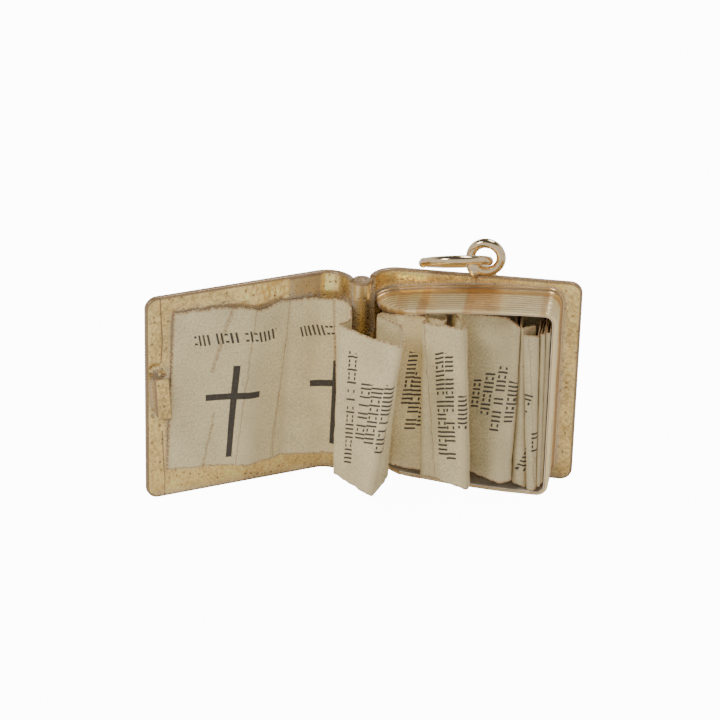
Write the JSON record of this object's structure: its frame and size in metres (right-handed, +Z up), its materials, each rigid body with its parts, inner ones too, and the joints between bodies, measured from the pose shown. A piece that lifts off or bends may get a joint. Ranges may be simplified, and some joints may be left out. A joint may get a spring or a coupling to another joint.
{
  "type": "bible charm",
  "caption": "Small gold book charm that stands open, with a hinged cover, a hollow page frame, a folded paper strip inside, a soldered ring and a jump ring.",
  "frame": {"origin": "middle of the part's box, at the bottom edges of the covers that it stands on", "axes": "+X along the back cover from the hinge to its fore edge, +Y out of the back cover's outer face, +Z up to the rings"},
  "size_m": [0.0304, 0.0118, 0.0188],
  "materials": {
    "cover_gold": "satin",
    "ring_gold": "polished",
    "book_paper": "matte"
  },
  "bodies": {
    "book_back": {"back_cover": "cover_gold", "page_frame": "cover_gold", "hinge_pin": "ring_gold", "jump_ring": "ring_gold", "tray_leaves": "book_paper", "page_stack": "book_paper"},
    "book_front": {"front_cover": "cover_gold", "cover_leaves": "book_paper"}
  },
  "joints": [
    {"name": "cover_hinge", "type": "hinge", "parent": "book_back", "child": "book_front", "pos_m": [-0.00054, 0.00107, 0.008], "axis": [0, 0, 1], "range_deg": [-32, 147.6], "deforming": ["cover_leaves", "tray_leaves", "page_stack"]}
  ]
}
